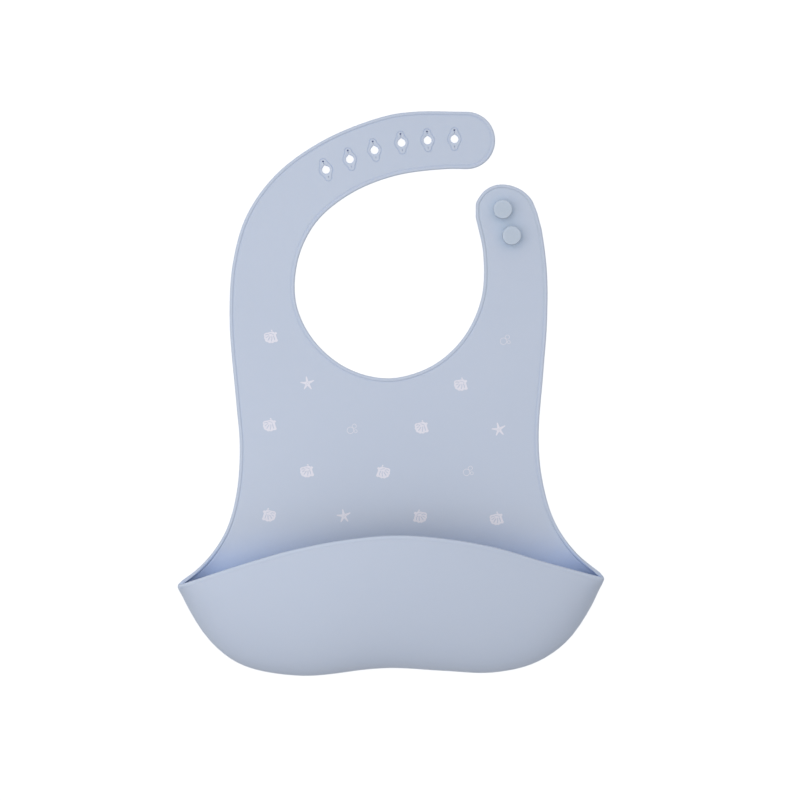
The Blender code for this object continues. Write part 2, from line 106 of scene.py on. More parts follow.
# ---------------------------------------------------------------- curves
def smooth_curve(points, steps=6):
    """Points along a centripetal Catmull-Rom curve through the control points."""
    pts = [np.array(p, float) for p in points]
    ends = [2 * pts[0] - pts[1]] + pts + [2 * pts[-1] - pts[-2]]
    out = []
    for i in range(1, len(ends) - 2):
        p0, p1, p2, p3 = ends[i - 1:i + 3]
        t1 = math.sqrt(np.linalg.norm(p1 - p0))
        t2 = t1 + math.sqrt(np.linalg.norm(p2 - p1))
        t3 = t2 + math.sqrt(np.linalg.norm(p3 - p2))
        for k in range(steps):
            t = t1 + (t2 - t1) * k / steps
            a1 = p0 * ((t1 - t) / t1) + p1 * (t / t1)
            a2 = p1 * ((t2 - t) / (t2 - t1)) + p2 * ((t - t1) / (t2 - t1))
            a3 = p2 * ((t3 - t) / (t3 - t2)) + p3 * ((t - t2) / (t3 - t2))
            b1 = a1 * ((t2 - t) / t2) + a2 * (t / t2)
            b2 = a2 * ((t3 - t) / (t3 - t1)) + a3 * ((t - t1) / (t3 - t1))
            out.append(b1 * ((t2 - t) / (t2 - t1)) + b2 * ((t - t1) / (t2 - t1)))
    out.append(pts[-1])
    return np.array(out)


def closed_curve(points, steps=4):
    """A smooth closed loop through the points."""
    pts = [tuple(p) for p in points]
    full = smooth_curve(pts[-2:] + pts + pts[:3], steps)
    return full[2 * steps:(2 + len(pts)) * steps]


def lengths(line):
    return np.concatenate([[0.0], np.cumsum(np.linalg.norm(np.diff(line, axis=0), axis=1))])


def resample(line, step):
    s = lengths(line)
    n = max(2, int(round(s[-1] / step)))
    t = np.linspace(0, s[-1], n + 1)
    return np.stack([np.interp(t, s, line[:, k]) for k in range(line.shape[1])], axis=1)


def at_fraction(line, f):
    s = lengths(line)
    return np.array([np.interp(f * s[-1], s, line[:, k]) for k in range(line.shape[1])])


def at_x(line, x):
    return np.array([x, np.interp(x, line[:, 0], line[:, 1])])


def part_of(line, x0, x1):
    inner = line[(line[:, 0] > x0) & (line[:, 0] < x1)]
    return np.vstack([at_x(line, x0), inner, at_x(line, x1)])


left = smooth_curve(LEFT_EDGE, 24)
right = smooth_curve([TAB_TIP[-1]] + RIGHT_EDGE, 24)[24:]
neck = smooth_curve(NECK_EDGE, 24)
tab = smooth_curve([NECK_EDGE[-1]] + TAB_TIP + [RIGHT_EDGE[0]], 24)
tip_angles = np.radians(np.linspace(90, -90, 40))
tip = np.stack([STRAP_TIP[0] + STRAP_TIP[2] * np.cos(tip_angles),
                STRAP_TIP[1] + STRAP_TIP[2] * np.sin(tip_angles)], axis=1)
bottom = smooth_curve(POCKET_BOTTOM, 24)
rim = smooth_curve(POCKET_RIM, 24)


# ---------------------------------------------------------------- mesh helpers
def to_frame(points):
    p = np.array(points, float).reshape(-1, 3) * MM
    p[:, 1] += SHIFT_Y * MM
    return p


def finish_mesh(name, bm, sharp=38.0):
    bmesh.ops.recalc_face_normals(bm, faces=bm.faces)
    mesh = bpy.data.meshes.new(name)
    bm.to_mesh(mesh)
    bm.free()
    volume = 0.0
    for poly in mesh.polygons:
        ring = [mesh.vertices[i].co for i in poly.vertices]
        for b, c in zip(ring[1:], ring[2:]):
            volume += ring[0].dot(b.cross(c))
    if volume < 0:
        mesh.flip_normals()
    mesh.shade_smooth()
    mesh.set_sharp_from_angle(angle=math.radians(sharp))
    obj = bpy.data.objects.new(name, mesh)
    scene.collection.objects.link(obj)
    return obj


def inside_fill(loops):
    """Triangles between the first loop and the others, as indices into the joined loops."""
    pts, faces = [], []
    for loop in loops:
        loop = np.array(loop, float)
        nxt = np.roll(loop, -1, axis=0)
        area = np.sum(loop[:, 0] * nxt[:, 1] - nxt[:, 0] * loop[:, 1])
        ids = list(range(len(pts), len(pts) + len(loop)))
        faces.append(ids if area > 0 else ids[::-1])
        pts += [Vector((float(p[0]), float(p[1]))) for p in loop]
    out = delaunay_2d_cdt(pts, [], faces, 1, 1e-7)
    source = {}
    for i, origin in enumerate(out[3]):
        for o in origin:
            source.setdefault(i, o)
    tris = []
    for face, origin in zip(out[2], out[5]):
        if 0 not in origin or any(o > 0 for o in origin):
            continue
        tris.append([source[i] for i in face])
    return tris


class Builder:
    """Collects rings of points and the faces between them."""

    def __init__(self):
        self.bm = bmesh.new()

    def ring(self, loop, z):
        zs = z if hasattr(z, "__len__") else [z] * len(loop)
        xyz = to_frame([(p[0], p[1], h) for p, h in zip(loop, zs)])
        return [self.bm.verts.new(v) for v in xyz]

    def bridge(self, a, b, closed=True):
        n = len(a)
        for i in range(n if closed else n - 1):
            j = (i + 1) % n
            self.bm.faces.new((a[i], a[j], b[j], b[i]))

    def fill(self, rings, loops):
        verts = [v for ring in rings for v in ring]
        for tri in inside_fill(loops):
            if len(set(tri)) == 3:
                self.bm.faces.new([verts[i] for i in tri])


def offset_loop(loop, d):
    """The loop moved inward by d, for a clockwise or anticlockwise smooth closed loop."""
    nxt, prv = np.roll(loop, -1, axis=0), np.roll(loop, 1, axis=0)
    t = nxt - prv
    t /= np.linalg.norm(t, axis=1)[:, None]
    area = np.sum(loop[:, 0] * nxt[:, 1] - nxt[:, 0] * loop[:, 1])
    n = np.stack([-t[:, 1], t[:, 0]], axis=1) * (1 if area > 0 else -1)
    return loop + n * d


# ---------------------------------------------------------------- buttonholes
EYELET = [(0.0, 6.5), (0.84, 6.33), (1.56, 5.86), (2.04, 5.14), (2.22, 4.35), (2.42, 3.6), (2.85, 2.9), (3.38, 2.1),
          (3.78, 1.1), (3.95, 0.0), (3.78, -1.1), (3.38, -2.1), (2.85, -2.9), (2.4, -3.6), (2.2, -4.35),
          (2.02, -5.14), (1.54, -5.86), (0.83, -6.33), (0.0, -6.5)]
EYELET += [(-x, y) for x, y in EYELET[-2:0:-1]]
PAD_Z = 2.10


def teardrop(grow=0.0):
    r = 2.15 + grow
    pts = [(r * math.cos(math.radians(a)), r * math.sin(math.radians(a))) for a in range(-222, 43, 12)]
    return pts + [(0.55 + 0.2 * grow, 2.28 + 0.95 * grow), (0.0, 2.7 + 1.15 * grow), (-0.55 - 0.2 * grow, 2.28 + 0.95 * grow)]


def lens_loop(a, b, width, steps=3):
    """A thin closed loop from a to b, widest at its middle."""
    a, b = np.array(a, float), np.array(b, float)
    d = (b - a) / np.linalg.norm(b - a)
    n = np.array([-d[1], d[0]]) * width / 2
    side = [a + (b - a) * t + n * math.sin(math.pi * t) ** 0.5 for t in np.linspace(0, 1, steps + 2)[1:-1]]
    other = [a + (b - a) * t - n * math.sin(math.pi * t) ** 0.5 for t in np.linspace(0, 1, steps + 2)[1:-1]]
    return [a] + side + [b] + other[::-1]


def place(points, spot):
    x, y, lean = spot
    a = math.radians(-lean)
    c, s = math.cos(a), math.sin(a)
    return np.array([(x + px * c - py * s, y + px * s + py * c) for px, py in points])


def eyelet(b, spot):
    """Builds one buttonhole. Returns the loops left open in the front and in the back."""
    outer = place(closed_curve(EYELET, 4), spot)
    r_out = b.ring(outer, 2 * MID)
    l_mid = offset_loop(outer, 0.14)
    r_mid = b.ring(l_mid, 2 * MID - 0.14)
    l_up = offset_loop(outer, 0.34)
    r_up = b.ring(l_up, 2 * MID - 0.12)
    l_in = offset_loop(outer, 0.55)
    r_in = b.ring(l_in, PAD_Z)
    for one, two in ((r_out, r_mid), (r_mid, r_up), (r_up, r_in)):
        b.bridge(one, two)
    hole_loops = [place(teardrop(g), spot) for g in (0.30, 0.10, 0.0)]
    rings = [b.ring(l, z) for l, z in zip(hole_loops, (PAD_Z, PAD_Z - 0.10, PAD_Z - 0.32))]
    low = [b.ring(place(teardrop(g), spot), z) for g, z in ((0.0, 0.30), (0.08, 0.08), (0.28, 0.0))]
    chain = rings + low
    for one, two in zip(chain, chain[1:]):
        b.bridge(one, two)
    pin = place([(0.52 * math.cos(a), 4.75 + 0.52 * math.sin(a)) for a in np.radians(np.arange(0, 360, 30))], spot)
    r_pin = b.ring(pin, PAD_Z)
    pin_low = place([(0.44 * math.cos(a), 4.75 + 0.44 * math.sin(a)) for a in np.radians(np.arange(0, 360, 30))], spot)
    r_pin2 = b.ring(pin_low, PAD_Z - 0.25)
    r_pin3 = b.ring(pin_low, PAD_Z - 0.9)
    b.bridge(r_pin, r_pin2)
    before = set(b.bm.faces)
    b.bridge(r_pin2, r_pin3)
    b.bm.faces.new(r_pin3)
    slit_loops, slit_rings = [], []
    for a, c, width, depth in (((0.0, 3.18), (0.0, 4.12), 0.26, 0.6), ((0.0, -3.35), (0.0, -4.75), 0.22, 0.35)):
        loop = place(lens_loop(a, c, width), spot)
        ring = b.ring(loop, PAD_Z)
        base = place([(a[0] * 0.8 + c[0] * 0.2, a[1] * 0.8 + c[1] * 0.2), (a[0] * 0.2 + c[0] * 0.8, a[1] * 0.2 + c[1] * 0.8)], spot)
        v0, v1 = b.ring(base, PAD_Z - depth)
        n = len(ring)
        half = n // 2
        for i in range(n):
            j = (i + 1) % n
            near_i = v0 if min(i, n - i) * 2 <= half else v1
            near_j = v0 if min(j, n - j) * 2 <= half else v1
            if near_i is near_j:
                b.bm.faces.new((ring[i], ring[j], near_i))
            else:
                b.bm.faces.new((ring[i], ring[j], near_j, near_i))
        slit_loops.append(loop)
        slit_rings.append(ring)
    # Painted shade: the pinhole's wall and floor and the slits take the second material slot, a dark blue that stands
    # in for the shade inside them.
    for f in set(b.bm.faces) - before:
        f.material_index = 1
    b.fill([r_in, rings[0], r_pin] + slit_rings, [l_in, hole_loops[0], pin] + slit_loops)
    return outer, r_out, place(teardrop(0.28), spot), low[-1]


# ---------------------------------------------------------------- flat sheet with both straps
def flat_sheet():
    keep_left = left[left[:, 1] > -55]
    keep_right = right[right[:, 1] > -55]
    # Rounded off below the crease, where it is cut away later.
    a1, a2 = np.radians(np.linspace(270, 180, 9)), np.radians(np.linspace(0, -90, 9))
    low_left = np.stack([-76.2 + 8 * np.cos(a1), -56.5 + 8 * np.sin(a1)], axis=1)
    low_right = np.stack([75.8 + 8 * np.cos(a2), -56.5 + 8 * np.sin(a2)], axis=1)
    outline = np.vstack([low_left, keep_left, tip[1:-1], neck, tab[24:-24], keep_right, low_right])
    outline = resample(np.vstack([outline, outline[:1]]), 1.25)[:-1]
    b = Builder()
    top = [b.ring(offset_loop(outline, d), MID + h) for d, h in BEAD]
    low = [b.ring(offset_loop(outline, d), MID - h) for d, h in PLAIN[1:]]
    for one, two in zip(top, top[1:]):
        b.bridge(one, two)
    chain = [top[0]] + low
    for one, two in zip(chain, chain[1:]):
        b.bridge(one, two)
    inner = offset_loop(outline, 3.6)
    fronts, backs = [(inner, top[-1])], [(inner, low[-1])]
    for spot in HOLES:
        f_loop, f_ring, k_loop, k_ring = eyelet(b, spot)
        fronts.append((f_loop, f_ring))
        backs.append((k_loop, k_ring))
    for group in (fronts, backs):
        b.fill([r for _, r in group], [l for l, _ in group])
    return b.bm


def plane(point, normal):
    co = to_frame([(point[0], point[1], 0.0)])[0]
    return Vector(co), Vector((normal[0], normal[1], 0.0)).normalized()


def cut_piece(source, name, cuts, seed, bends=()):
    """One closed piece of the sheet. Each cut keeps the side its normal points away from. Each bend
    is (point, normal, half width): the piece gets fine rows of edges across it."""
    bm = source.copy()
    for point, normal in cuts:
        co, no = plane(point, normal)
        bmesh.ops.bisect_plane(bm, geom=bm.verts[:] + bm.edges[:] + bm.faces[:], dist=1e-8,
                               plane_co=co, plane_no=no, clear_outer=True)
    # keep only the part that holds the seed
    target = Vector(to_frame([(seed[0], seed[1], 2.0)])[0])
    start = min(bm.verts, key=lambda v: (v.co - target).length)
    seen, stack = {start}, [start]
    while stack:
        v = stack.pop()
        for e in v.link_edges:
            o = e.other_vert(v)
            if o not in seen:
                seen.add(o)
                stack.append(o)
    bmesh.ops.delete(bm, geom=[v for v in bm.verts if v not in seen], context="VERTS")
    open_edges = [e for e in bm.edges if e.is_boundary]
    bmesh.ops.holes_fill(bm, edges=open_edges, sides=0)
    for point, normal, half in bends:
        co, no = plane(point, normal)
        rows = int(half * 2 / 0.9)
        for k in range(rows + 1):
            at = co + no * ((k / rows * 2 - 1) * half * MM)
            bmesh.ops.bisect_plane(bm, geom=bm.verts[:] + bm.edges[:] + bm.faces[:], dist=1e-8,
                                   plane_co=at, plane_no=no)
    return finish_mesh(name, bm)


def across(line):
    d = np.array(line[1]) - np.array(line[0])
    n = np.array([-d[1], d[0]]) / np.linalg.norm(d)
    return n if n[0] > 0 else -n


bend_n, end_n = across(STRAP_BEND), across(STRAP_END_BEND)
bend_at = (np.array(STRAP_BEND[0]) + np.array(STRAP_BEND[1])) / 2
end_at = (np.array(STRAP_END_BEND[0]) + np.array(STRAP_END_BEND[1])) / 2
FOLD_HALF, BEND_HALF, END_HALF, TAB_HALF = 7.5, 8.0, 2.6, 5.5
SEAM_LOW = SHOULDER_Y - FOLD_HALF - 1.0
UP, DOWN = (0.0, 1.0), (0.0, -1.0)

sheet = flat_sheet()
cut_b = bend_at - bend_n * (BEND_HALF + 1.0)
cut_c = end_at - end_n * 14.0
chest_skin = cut_piece(sheet, "chest_skin", [((0, SEAM_LOW), UP), ((0, -45.0), DOWN)], (0, -20))
strap_a = cut_piece(sheet, "hole_strap_skin_a", [((0, SEAM_LOW), DOWN), (cut_b, bend_n)], (-70, 60),
                    [((0, SHOULDER_Y), UP, FOLD_HALF)])
strap_b = cut_piece(sheet, "hole_strap_skin_b", [((0, SEAM_LOW), DOWN), (cut_b, -bend_n), (cut_c, end_n)], (-45, 118),
                    [(bend_at, bend_n, BEND_HALF)])
strap_c = cut_piece(sheet, "hole_strap_skin_c", [((0, SEAM_LOW), DOWN), (cut_c, -end_n)], (30, 145),
                    [(end_at, end_n, END_HALF)])
TAB_SEAM = TAB_BEND_Y - TAB_HALF - 0.75
tab_a = cut_piece(sheet, "button_strap_skin_a", [((0, SEAM_LOW), DOWN), ((0, TAB_SEAM), UP)], (70, 58),
                  [((0, SHOULDER_Y), UP, FOLD_HALF)])
tab_b = cut_piece(sheet, "button_strap_skin_b", [((0, TAB_SEAM), DOWN)], (65, 100),
                  [((0, TAB_BEND_Y), UP, TAB_HALF)])
sheet.free()


def frame_point(x, y, z):
    return tuple(float(v) for v in to_frame([(x, y, z)])[0])


def blend_across(obj, at, normal, half):
    s = np.array(at) - np.array(normal) * half
    e = np.array(at) + np.array(normal) * half
    frame_point(s[0], s[1], MID)
    frame_point(e[0], e[1], MID)
    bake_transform(obj)


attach(chest_skin, "chest")
blend_across(strap_a, (0, SHOULDER_Y), UP, FOLD_HALF)
blend_across(strap_b, bend_at, bend_n, BEND_HALF)
blend_across(strap_c, end_at, end_n, END_HALF)
blend_across(tab_a, (0, SHOULDER_Y), UP, FOLD_HALF)
blend_across(tab_b, (0, TAB_BEND_Y), UP, TAB_HALF)
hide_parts("chest_panel")
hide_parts("hole_strap_shoulder")
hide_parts("hole_strap_middle")
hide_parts("hole_strap_end")
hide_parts("button_strap_shoulder")
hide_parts("button_strap_end")

# ---------------------------------------------------------------- pocket
HALF_W = 115.0
CORNER_LIFT = 12.0         # the corners stand this far off the table
CURL_W = 13.0              # width of the strip along the edge that curls up with them
RIM_CENTRE_Z = 31.0
RIM_CORNER_Z = MID + CORNER_LIFT + 1.6
BEND_R, BEND_R_END = 5.0, 0.7
WALL_SPAN = math.radians(78.0)
FAN_X = 72.0
CORNERS = np.array([(-114.9, -102.9), (114.3, -99.0)])


def ease(t):
    t = np.clip(t, 0, 1)
    return t * t * (3 - 2 * t)


def distance_to(points, line):
    a, b = line[:-1], line[1:]
    d = b - a
    dd = np.maximum((d * d).sum(axis=1), 1e-12)
    best = np.full(len(points), 1e9)
    for k in range(0, len(points), 2000):
        p = points[k:k + 2000, None, :]
        t = np.clip(((p - a) * d).sum(axis=2) / dd, 0, 1)
        q = a + t[..., None] * d
        best[k:k + 2000] = np.sqrt(((p - q) ** 2).sum(axis=2)).min(axis=1)
    return best


panel_sides = [left[left[:, 1] < -30], right[right[:, 1] < -30]]


def lift(x, y):
    """How far the sheet stands off the table: its edge curls up toward each corner."""
    d = min(np.hypot(x - c[0], y - c[1]) for c in CORNERS)
    if d > 60:
        return 0.0
    inward = min(distance_to(np.array([(x, y)]), side)[0] for side in panel_sides)
    return CORNER_LIFT * (1 - d / 60.0) ** 3.6 * max(0.0, 1 - inward / CURL_W) ** 2


def draw_in(p, height):
    """A corner that is lifted off the table is drawn in a little toward the middle."""
    c = np.array([4.6, -3.2])
    return c + (np.array(p, float) - c) * (1 - height / 1600.0)


def x_left(y):
    return np.interp(y, left[:, 1], left[:, 0]) if y > left[0, 1] else left[0, 0]


right_up = right[::-1]


def x_right(y):
    return np.interp(y, right_up[:, 1], right_up[:, 0]) if y > right_up[0, 1] else right_up[0, 0]


def pair(u):
    """The foot and the rim of the slice at u, from 0 at the left corner to 1 at the right."""
    low, top = flat_pair(u)
    q = min(1.0, abs(top[0]) / HALF_W)
    return draw_in(low, lift(low[0], low[1])), draw_in(top, CORNER_LIFT * 0.86 * q ** 2.2)


def flat_pair(u):
    mid_share = 0.5
    side_share = (1 - mid_share) / 2
    if u < side_share:
        f = 1 - u / side_share
        low = part_of(bottom, bottom[0, 0], -FAN_X)[::-1]
        top = part_of(rim, rim[0, 0], -FAN_X)[::-1]
        return at_fraction(low, f), at_fraction(top, f)
    if u > 1 - side_share:
        f = 1 - (1 - u) / side_share
        low = part_of(bottom, FAN_X, bottom[-1, 0])
        top = part_of(rim, FAN_X, rim[-1, 0])
        return at_fraction(low, f), at_fraction(top, f)
    x = -FAN_X + 2 * FAN_X * (u - side_share) / mid_share
    return at_x(bottom, x), at_x(rim, x)


def taper(u):
    """0 at the corners, 1 a little way in."""
    return float(ease(min(u, 1 - u) / 0.035))


def turn_start(u):
    low, top = pair(u)
    along = (top - low) / np.linalg.norm(top - low)
    q = min(1.0, abs(low[0]) / HALF_W)
    r = BEND_R_END + (BEND_R - BEND_R_END) * (1 - q ** 3)
    inset = 0.15 + 0.85 * taper(u)
    return low, top, along, r, inset, low + along * (inset + r)


def share(u):
    s = turn_start(u)[-1]
    return (s[0] - x_left(s[1])) / (x_right(s[1]) - x_left(s[1]))


U_TABLE = np.linspace(0, 1, 401)
SHARE_TABLE = np.array([share(u) for u in U_TABLE])
SHARE_TABLE = (SHARE_TABLE - SHARE_TABLE[0]) / (SHARE_TABLE[-1] - SHARE_TABLE[0])

TOP_Y, CREASE_LOW_Y = -45.0, -63.0
w_top = x_right(TOP_Y) - x_left(TOP_Y)
edge = [d for d in EDGE_STEPS] + [5.0, 7.0, 9.5]
inner_cols = list(np.linspace(12.5, w_top - 12.5, 56))
cols = np.array(edge + inner_cols + [w_top - d for d in edge[::-1]]) / w_top
col_u = np.interp(cols, SHARE_TABLE, U_TABLE)


def back_column(xi, u, y0, y1, steps, include_end):
    low, top, along, r, inset, start = turn_start(u)
    y_end = start[1] if y1 is None else y1
    ys = np.linspace(y0, y_end, steps + 1)
    if not include_end:
        ys = ys[:-1]
    out = []
    end_x = x_left(start[1]) + xi * (x_right(start[1]) - x_left(start[1]))
    for y in ys:
        x = x_left(y) + xi * (x_right(y) - x_left(y))
        t = (TOP_Y - y) / (TOP_Y - start[1])
        x += (start[0] - end_x) * t ** 4
        h = lift(x, y)
        x, yy = draw_in((x, y), h * (1 - t ** 4))
        out.append((x, yy, MID + h))
    return out


def rim_height(x):
    q = min(1.0, abs(x) / HALF_W)
    return RIM_CORNER_Z + (RIM_CENTRE_Z - RIM_CORNER_Z) * (1 - q ** 2.2)


def wall_column(u, arc_steps=9, wall_steps=22):
    low, top, along, r, inset, start = turn_start(u)
    span = np.linalg.norm(top - low)
    z0 = MID + lift(start[0], start[1])
    z_low, z_top = z0 + r, max(rim_height(top[0]), z0 + r + 0.4)
    a = (span - inset) / (1 - math.cos(WALL_SPAN))
    b = (z_top - z_low) / math.sin(WALL_SPAN)
    pts = []
    for k in range(arc_steps):
        t = math.pi / 2 * k / arc_steps
        pts.append((inset + r - r * math.sin(t), z0 + r - r * math.cos(t)))
    dense = np.linspace(0, WALL_SPAN, 400)
    ds = inset + a * (1 - np.cos(dense))
    dz = z_low + b * np.sin(dense)
    arc = np.concatenate([[0], np.cumsum(np.hypot(np.diff(ds), np.diff(dz)))])
    total = arc[-1]
    fine = min(3.6, total * 0.45)
    marks = [total - d / 3.6 * fine for d in EDGE_STEPS][::-1]
    coarse = list(np.linspace(0, marks[0], wall_steps + 1))[:-1]
    for m in coarse + marks:
        pts.append((np.interp(m, arc, ds), np.interp(m, arc, dz)))
    return [(low[0] + along[0] * s, low[1] + along[1] * s, z) for s, z in pts]


BACK_STEPS = 26
crease_grid = np.array([back_column(xi, u, TOP_Y, CREASE_LOW_Y, 20, True) for xi, u in zip(cols, col_u)])
pocket_grid = np.array([back_column(xi, u, CREASE_LOW_Y, None, BACK_STEPS, False) + wall_column(u)
                        for xi, u in zip(cols, col_u)])

# The free edge, as one line: up the left side of the panel, round the rim, down the right side.
edge_left = np.array([(x_left(y), y, MID + lift(x_left(y), y)) for y in np.linspace(-30, -102.3, 150)])
edge_right = np.array([(x_right(y), y, MID + lift(x_right(y), y)) for y in np.linspace(-98.4, -30, 150)])
panel_edges = [np.vstack([edge_left, pocket_grid[0, BACK_STEPS:]]), np.vstack([pocket_grid[-1, BACK_STEPS:][::-1], edge_right])]
rim_edge = pocket_grid[:, -1]


def grid_normals(grid):
    du = np.gradient(grid, axis=0)
    dv = np.gradient(grid, axis=1)
    n = np.cross(dv, du)
    length = np.linalg.norm(n, axis=2)
    n = n / np.maximum(length, 1e-9)[..., None]
    return n


def skin_from_grid(name, grid, normals):
    """A closed skin round a grid of middle points. Side columns and the rim are free edges."""
    nu, nv = grid.shape[:2]
    flat = grid.reshape(-1, 3)
    d_panel = np.minimum(*[distance_to(flat, e) for e in panel_edges])
    d_rim = distance_to(flat, rim_edge)
    rimness = ease((d_panel - d_rim) / 3.0 + 0.5)
    d = np.minimum(d_panel, d_rim)
    front = profile(BEAD, d) * (1 - rimness) + profile(PLAIN, d) * rimness
    back = profile(PLAIN, d) * (1 - rimness) + profile(RIM_BEAD, d) * rimness
    n = normals.reshape(-1, 3)
    up = flat + n * front[:, None]
    down = flat - n * back[:, None]
    return up.reshape(nu, nv, 3), down.reshape(nu, nv, 3)


def mesh_from_sheets(name, up, down, closed_sides, closed_start, closed_end):
    """Joins two sheets of points. Where a side is not closed, its points are shared."""
    nu, nv = up.shape[:2]
    bm = bmesh.new()
    top = [[bm.verts.new(v) for v in to_frame(up[i])] for i in range(nu)]
    low = [[bm.verts.new(v) for v in to_frame(down[i])] for i in range(nu)]
    for i in range(nu - 1):
        for j in range(nv - 1):
            bm.faces.new((top[i][j], top[i + 1][j], top[i + 1][j + 1], top[i][j + 1]))
            bm.faces.new((low[i][j], low[i][j + 1], low[i + 1][j + 1], low[i + 1][j]))
    for i in (0, nu - 1):
        for j in range(nv - 1):
            bm.faces.new((top[i][j], top[i][j + 1], low[i][j + 1], low[i][j]))
    for j in (0, nv - 1):
        for i in range(nu - 1):
            bm.faces.new((top[i][j], low[i][j], low[i + 1][j], top[i + 1][j]))
    bmesh.ops.remove_doubles(bm, verts=bm.verts, dist=2e-7)
    bmesh.ops.dissolve_degenerate(bm, edges=bm.edges, dist=1e-7)
    return finish_mesh(name, bm)


whole = np.concatenate([crease_grid, pocket_grid[:, 1:]], axis=1)
whole_n = grid_normals(whole)
if whole_n[40, 3, 2] < 0:
    whole_n = -whole_n
whole_n[:, 0] = (0, 0, 1)
split = crease_grid.shape[1]
up_all, down_all = skin_from_grid("pocket", whole, whole_n)
crease_skin = mesh_from_sheets("crease_skin", up_all[:, :split], down_all[:, :split], True, True, True)
pocket_skin = mesh_from_sheets("pocket_skin", up_all[:, split - 1:], down_all[:, split - 1:], True, True, True)
frame_point(0, -46.5, MID)
frame_point(0, -61.5, MID)
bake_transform(crease_skin)
frame_point(0, -100, 6.0)
frame_point(0, -100, 30.0)
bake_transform(pocket_skin)
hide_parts("pocket_back", "pocket_bottom", "pocket_left_gusset", "pocket_right_gusset",
            "pocket_front_wall")

# ---------------------------------------------------------------- studs
def lathe(name, node, rows, sides=64):
    """A turned piece on the node's own axis, from (radius, height, material) rows."""
    lo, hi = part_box(node)
    cx, cy = (lo[0] + hi[0]) / 2, (lo[1] + hi[1]) / 2
    bm = bmesh.new()
    rings = []
    for r, z, _ in rows:
        if r == 0:
            rings.append([bm.verts.new((cx, cy, z * MM))])
            continue
        rings.append([bm.verts.new((cx + r * MM * math.cos(2 * math.pi * k / sides),
                                    cy + r * MM * math.sin(2 * math.pi * k / sides), z * MM))
                      for k in range(sides)])
    for (a, b, row) in zip(rings, rings[1:], rows):
        for k in range(sides):
            j = (k + 1) % sides
            if len(a) == 1:
                f = bm.faces.new((a[0], b[k], b[j]))
            elif len(b) == 1:
                f = bm.faces.new((a[k], a[j], b[0]))
            else:
                f = bm.faces.new((a[k], a[j], b[j], b[k]))
            f.material_index = row[2]
    return finish_mesh(name, bm, 50)


STUD = [(0, 2.02, 0), (3.9, 2.02, 0), (3.9, 2.04, 0), (3.45, 2.14, 0), (3.05, 2.38, 0), (2.78, 2.75, 0),
        (2.66, 3.2, 0), (2.62, 3.9, 0), (2.62, 4.7, 0), (2.72, 4.92, 0), (3.0, 5.02, 0), (3.9, 5.06, 0),
        (4.45, 5.12, 0), (4.80, 5.24, 0), (5.02, 5.46, 0), (5.10, 5.80, 0), (5.10, 6.80, 0), (5.08, 7.15, 0),
        (5.01, 7.40, 0), (4.90, 7.57, 0), (4.72, 7.68, 0), (4.45, 7.75, 0), (3.9, 7.77, 1), (2.4, 7.78, 1),
        (1.2, 7.79, 1), (0, 7.79, 1)]
studs = []
for node in ("upper_button", "lower_button"):
    stud = lathe(node + "_stud", node, STUD)
    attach(stud, "tab_end")
    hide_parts(node)
    studs.append(stud)

# ---------------------------------------------------------------- ink motifs
FAN = [(0.37, 3.80), (0.70, 3.66), (0.82, 3.36), (0.72, 3.08), (0.78, 2.90), (1.10, 2.76), (1.75, 2.42), (2.02, 2.28),
       (2.35, 2.55), (2.85, 2.45), (3.25, 1.98), (3.20, 1.55), (2.72, 1.25), (2.82, 0.75), (3.12, -0.40),
       (3.42, -1.25), (3.78, -1.90), (3.50, -2.50), (2.85, -2.82), (2.10, -2.70), (1.60, -3.00), (1.00, -3.42),
       (0.45, -3.40), (0.05, -3.20), (-0.50, -3.50), (-1.15, -3.38), (-1.62, -2.95), (-2.20, -2.85),
       (-2.80, -2.52), (-3.15, -2.05), (-3.25, -1.50), (-3.60, -1.05), (-3.75, -0.50), (-3.52, 0.05),
       (-3.80, 0.70), (-3.68, 1.40), (-3.10, 1.98), (-2.30, 2.16), (-1.50, 2.30), (-0.70, 2.52), (0.10, 2.62),
       (0.42, 2.74), (0.40, 2.92), (0.12, 3.04), (-0.06, 3.34), (0.06, 3.66)]
FAN_GAPS = [([(-3.05, 0.85), (-2.30, 1.22), (-1.50, 1.15), (-0.85, 0.75)], 0.42),
            ([(-2.75, -0.65), (-1.90, -0.02), (-1.25, 0.32)], 0.42),
            ([(-1.75, -2.10), (-0.90, -0.75), (-0.30, 0.15)], 0.46),
            ([(0.25, -2.55), (0.52, -1.10), (0.48, 0.40)], 0.44),
            ([(2.10, -1.95), (1.78, -0.65), (1.30, 0.55)], 0.46),
            ([(-0.95, 1.78), (0.10, 1.68), (1.15, 1.28), (1.75, 0.85)], 0.30)]
ARMS = [(99.5, 3.75), (24.5, 3.95), (-55.0, 3.85), (-119.0, 3.70), (172.0, 3.95)]
SPECKS = [(0.0, 0.42), (0.48, 0.0), (-0.55, 0.05), (0.12, -0.45), (-0.38, -0.5), (0.42, 0.72)]


def star_outline():
    pts = []
    order = sorted(ARMS, key=lambda a: a[0])
    for k, (ang, length) in enumerate(order):
        a = math.radians(ang)
        d = np.array([math.cos(a), math.sin(a)])
        n = np.array([-d[1], d[0]])
        for along, half in ((0.30, 0.66), (0.62, 0.47), (0.90, 0.33)):
            pts.append(tuple(d * length * along - n * half))
        for t in (-60, -20, 20, 60):
            tt = math.radians(t)
            pts.append(tuple(d * (length - 0.3) + 0.3 * (d * math.cos(tt) + n * math.sin(tt))))
        for along, half in ((0.90, 0.33), (0.62, 0.47), (0.30, 0.66)):
            pts.append(tuple(d * length * along + n * half))
    return pts


def circle(x, y, r, n=20):
    return [(x + r * math.cos(2 * math.pi * k / n), y + r * math.sin(2 * math.pi * k / n)) for k in range(n)]


